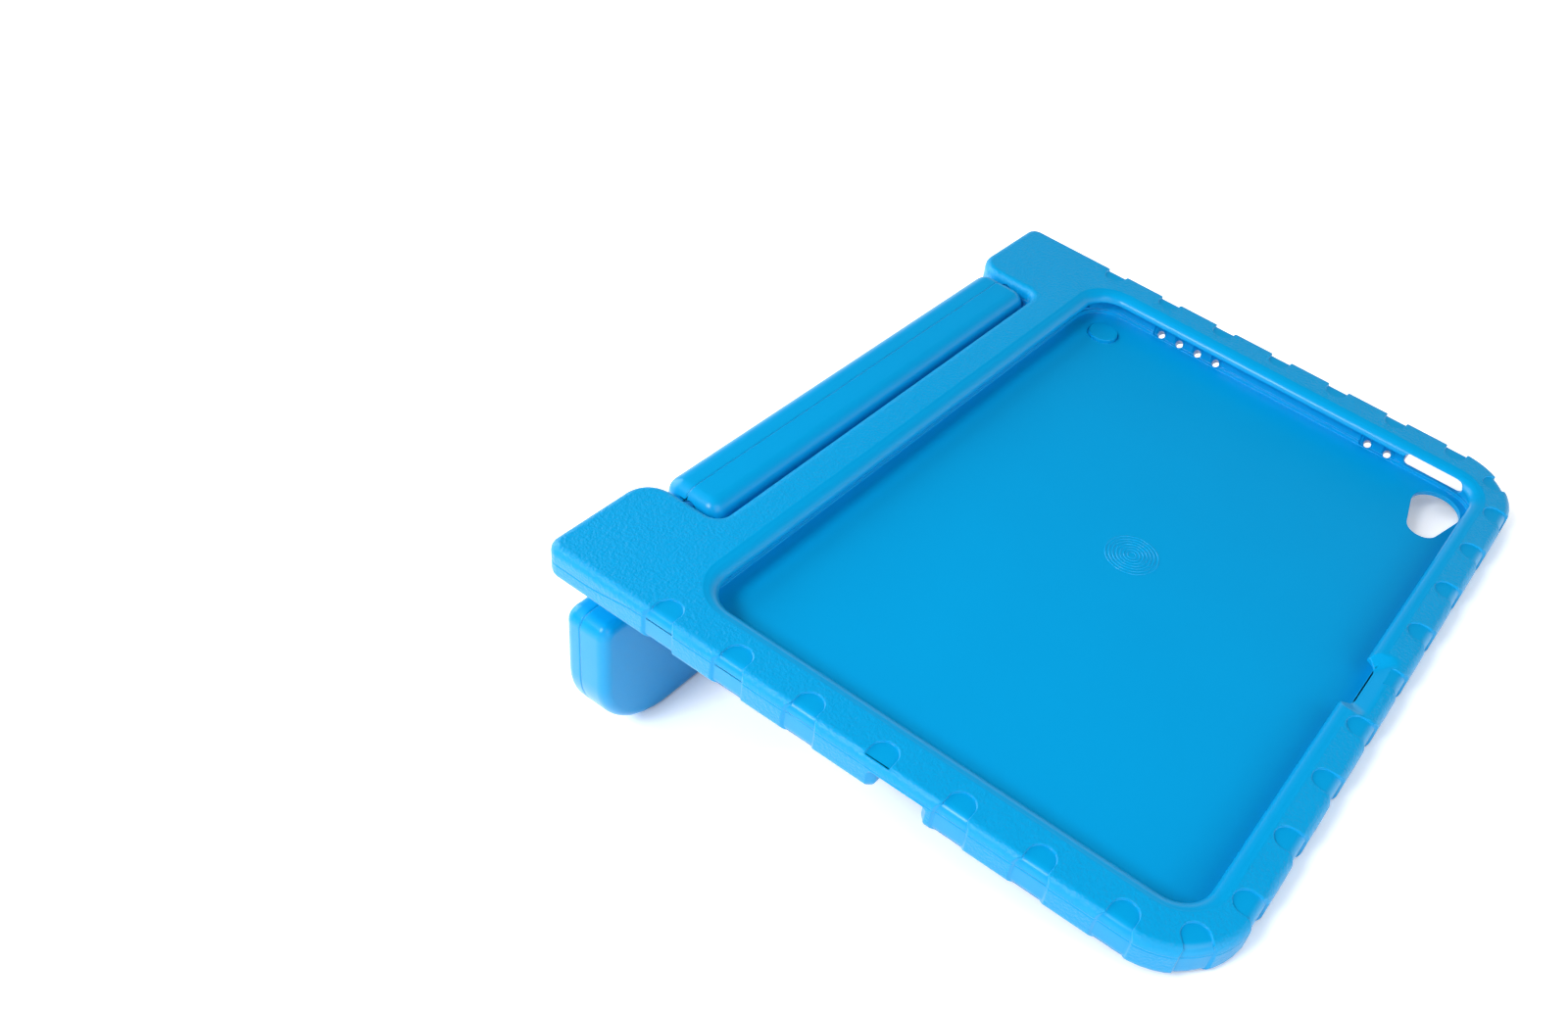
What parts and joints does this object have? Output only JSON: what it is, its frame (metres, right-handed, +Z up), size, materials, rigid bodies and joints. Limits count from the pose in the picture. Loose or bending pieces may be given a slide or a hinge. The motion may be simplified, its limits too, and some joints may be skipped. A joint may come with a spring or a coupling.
{
  "type": "tablet cover",
  "caption": "Child's foam tablet cover: a lipped tray that holds the tablet, and a wide hinged handle that folds back to stand it up for typing.",
  "frame": {"origin": "on the table, below the middle of the standing cover's bounding box", "axes": "+X along the tray's long side and the hinge, towards the side with the button slot; +Y from the tray's low edge back to the handle; +Z up from the table"},
  "size_m": [0.277, 0.2374, 0.0821],
  "materials": {
    "tray_foam": "matte, leathery grain",
    "handle_foam": "matte, smooth",
    "pin_plastic": "matte"
  },
  "bodies": {
    "tray_body": {"tray": "tray_foam", "hinge_pin_left": "pin_plastic", "hinge_pin_right": "pin_plastic"},
    "handle_body": {"handle": "handle_foam"}
  },
  "joints": [
    {"name": "handle_hinge", "type": "hinge", "parent": "tray_body", "child": "handle_body", "pos_m": [0, 0.08891, 0.0721], "axis": [1, 0, 0], "range_deg": [-12, 90]}
  ]
}
